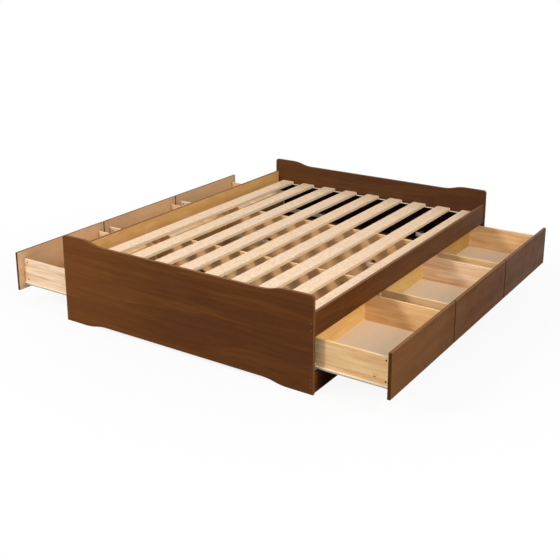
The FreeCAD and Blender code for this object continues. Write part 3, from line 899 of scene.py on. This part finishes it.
def add_clip(shape, foot, depth):
    """Adds a moulded clip: a rounded block standing on foot, with a round knob on its top."""
    before = set(shape.verts)
    bmesh.ops.create_cube(shape, size=1.0)
    spread = Matrix.Diagonal((CLIP_LENGTH, depth, CLIP_HEIGHT, 1.0))
    move_added(shape, before, Matrix.Translation((0, 0, CLIP_HEIGHT / 2)) @ spread)
    sharp = [edge for edge in shape.edges if not before.intersection(edge.verts)]
    bmesh.ops.bevel(
        shape,
        geom=sharp,
        offset=CLIP_ROUNDING,
        segments=3,
        profile=0.5,
        affect="EDGES",
        material=-1,
    )
    block = set(shape.verts)
    bmesh.ops.create_uvsphere(shape, u_segments=16, v_segments=8, radius=depth * KNOB_SHARE)
    move_added(shape, block, Matrix.Translation((0, 0, CLIP_HEIGHT)))
    move_added(shape, before, Matrix.Translation(foot))


def outer_faces(drawer):
    """Where the outer face of each side of a drawer lies along Y, and which way it looks."""
    foot_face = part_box(f"{drawer}_foot_side")[0].y
    head_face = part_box(f"{drawer}_head_side")[1].y
    return ((foot_face, -1), (head_face, 1))


def runner_clips():
    """A black clip over the back end of each cabinet runner."""
    runner_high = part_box("cabinet_runners")[1]
    batten_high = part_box("runner_battens")[1]
    shape = bmesh.new()
    for row in ROWS:
        for face, way in outer_faces(f"right_{row}_drawer"):
            at_panel = (row, way) in (("foot", -1), ("head", 1))
            depth, start = PANEL_CLIP if at_panel else DIVIDER_CLIP
            level = runner_high.z if at_panel else batten_high.z
            for side in SIDES.values():
                foot = Vector((side * CLIP_ACROSS, face + way * (start + depth / 2), level))
                add_clip(shape, foot, depth)
    finished_piece("runner_clips", shape, "roller", "frame")


def runner_screws(drawer):
    """Three screws through the web of each runner member."""
    shape = bmesh.new()
    low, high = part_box(f"{drawer}_runners")
    height = low.z + RUNNER_SCREW_LEVEL
    for face, way in outer_faces(drawer):
        for share in RUNNER_SCREW_PLACES:
            across = low.x + (high.x - low.x) * (share if low.x > 0 else 1 - share)
            centre = Vector((across, face + way * RUNNER_STEEL, height))
            add_screw(shape, centre, Vector((0, way, 0)), RUNNER_SCREW_RADIUS)
    finished_piece(f"{drawer}_runner_screws", shape, "dark_screw", drawer)


def slat_screws():
    """One screw through each slat into each board under it."""
    rows = []
    for name in ("foot_divider", "head_divider"):
        board_low, board_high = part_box(name)
        rows.append((board_low.y + board_high.y) / 2)
    ends_low, ends_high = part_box("end_boards")
    board_low, board_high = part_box("foot_divider")
    inset = (board_high.y - board_low.y) / 2
    rows += [ends_low.y + inset, ends_high.y - inset]
    shape = bmesh.new()
    for index in range(SLAT_COUNT):
        across = slats_low.x + SLAT_WIDTH / 2 + SLAT_STEP * index
        for row in rows:
            add_screw(shape, Vector((across, row, slats_high.z)), UP, SLAT_SCREW_RADIUS)
    finished_piece("slat_screws", shape, "gilt_screw", "frame")


def drawer_screws(drawer):
    """The two screws that hold each side to the front."""
    side = SIDES[drawer.split("_")[0]]
    front_low, front_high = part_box(f"{drawer}_front")
    back_face = front_low.x if side > 0 else front_high.x
    across = back_face - side * SCREW_BEHIND_FRONT
    low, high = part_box(f"{drawer}_foot_side")
    shape = bmesh.new()
    for face, way in outer_faces(drawer):
        for share in DRAWER_SCREW_HEIGHTS:
            centre = Vector((across, face, low.z + share * (high.z - low.z)))
            add_screw(shape, centre, Vector((0, way, 0)), DRAWER_SCREW_RADIUS)
    finished_piece(f"{drawer}_screws", shape, "dark_screw", drawer)


slat_screws()
runner_clips()
for drawer in DRAWERS:
    drawer_screws(drawer)
    runner_screws(drawer)


# ---- Room, light and camera -------------------------------------------------------------------

# The room's even light on the bed
ROOM_LEVEL = 0.15

# Half the floor's width, the scale of its faint clouds, and how much it glows near the bed
FLOOR_HALF = 40.0
FLOOR_CLOUDS = 0.6
FLOOR_GLOW = 0.9

# From where to where the floor grows whiter, in reaches of the bed, and the edge of its shadow
GLOW_SPREAD = (0.9, 2.2)
SHADOW_EDGE = (0.86, 1.0)

# Softboxes: name, place, aim, watts and size
LAMPS = (
    ("key", (-2.0, -4.3, 3.8), (0.0, -0.2, 0.3), 200.0, 1.2),
    ("fill", (4.5, -1.5, 3.2), (0.6, -0.2, 0.3), 158.0, 2.6),
    ("top", (0.4, -1.0, 5.6), (0.3, -0.2, 0.3), 52.0, 3.0),
    ("back", (-2.6, 3.9, 3.6), (0.0, 0.3, 0.3), 36.0, 2.4),
)

# The camera's place, its tilt below the level, its turn, and its lens in millimetres
CAMERA_PLACE = (2.755, -4.313, 2.043)
CAMERA_TILT = 15.93
CAMERA_TURN = 33.31
SENSOR_WIDTH = 36.0
LENS_LENGTH = 58.96
LENS_SHIFT = -0.15


def floor_finish():
    """A matt pale floor, in the bed's full shadow under it and whiter the farther it is from it."""
    material, tree, shader = start_material("pale_floor")
    place = tree.place()
    colour = tree.mix(tree.noise(place, FLOOR_CLOUDS, detail=2.0), FLOOR_DARK, FLOOR_LIGHT)
    spread = tree.vector_math("MULTIPLY", place, (1 / cad_high.x, 1 / cad_high.y, 0.0))
    glow = tree.between(tree.length(spread), *GLOW_SPREAD, FLOOR_GLOW, 1.0)
    parts = tree.split(place)
    panel_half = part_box("foot_panel")[1].x
    sideways = tree.math("DIVIDE", tree.math("ABSOLUTE", parts["X"]), panel_half)
    lengthways = tree.math("DIVIDE", tree.math("ABSOLUTE", parts["Y"]), cad_high.y)
    edge = tree.math("MAXIMUM", sideways, lengthways)
    glow = tree.math("MULTIPLY", glow, tree.between(edge, *SHADOW_EDGE))
    seen = tree.add("ShaderNodeLightPath").outputs["Is Camera Ray"]
    glow = tree.math("MULTIPLY", glow, seen)
    tree.feed(tree.mix(glow, colour, BLACK), shader["Base Color"])
    shader["Roughness"].default_value = 0.9
    shader["Specular IOR Level"].default_value = 0.0
    shader["Emission Color"].default_value = WHITE
    tree.feed(glow, shader["Emission Strength"])
    return material


def floor():
    shape = bmesh.new()
    bmesh.ops.create_grid(shape, x_segments=1, y_segments=1, size=FLOOR_HALF)
    mesh = mesh_of(shape, "floor")
    mesh.materials.append(floor_finish())
    ground = new_object("floor", mesh)


def room_light():
    """Even light from all round; whatever looks past the bed sees white."""
    world = bpy.data.worlds.new("studio")
    bpy.context.scene.world = world
    world.use_nodes = True
    world.node_tree.nodes.clear()
    tree = Tree(world.node_tree)
    rays = tree.add("ShaderNodeLightPath").outputs
    seen = tree.math("MAXIMUM", rays["Is Camera Ray"], rays["Is Glossy Ray"])
    strength = tree.between(seen, 0.0, 1.0, ROOM_LEVEL, 1.0)
    background = tree.add("ShaderNodeBackground", {"Color": WHITE, "Strength": strength})
    output = tree.add("ShaderNodeOutputWorld")
    tree.feed(background.outputs[0], output.inputs["Surface"])


def studio_lamp(name, place, aim, watts, size):
    """A round softbox at a place, turned to what it lights."""
    light = bpy.data.lights.new(name, "AREA")
    light.shape = "DISK"
    light.energy = watts
    light.size = size
    lamp = new_object(name, light)
    lamp.location = place
    lamp.rotation_mode = "QUATERNION"
    lamp.rotation_quaternion = (Vector(aim) - Vector(place)).to_track_quat("-Z", "Y")
    lamp.visible_camera = False


def camera():
    """Looks at the foot of the bed from the right, a little above it."""
    lens = bpy.data.cameras.new("camera")
    lens.sensor_width = SENSOR_WIDTH
    lens.lens = LENS_LENGTH
    lens.shift_y = LENS_SHIFT
    lens.clip_start = 0.1
    lens.clip_end = 200.0
    camera_object = new_object("camera", lens)
    camera_object.location = CAMERA_PLACE
    camera_object.rotation_euler = (math.radians(90 - CAMERA_TILT), 0.0, math.radians(CAMERA_TURN))
    bpy.context.scene.camera = camera_object


floor()
room_light()
for lamp in LAMPS:
    studio_lamp(*lamp)
camera()

view = bpy.context.scene.view_settings
view.view_transform = "Standard"
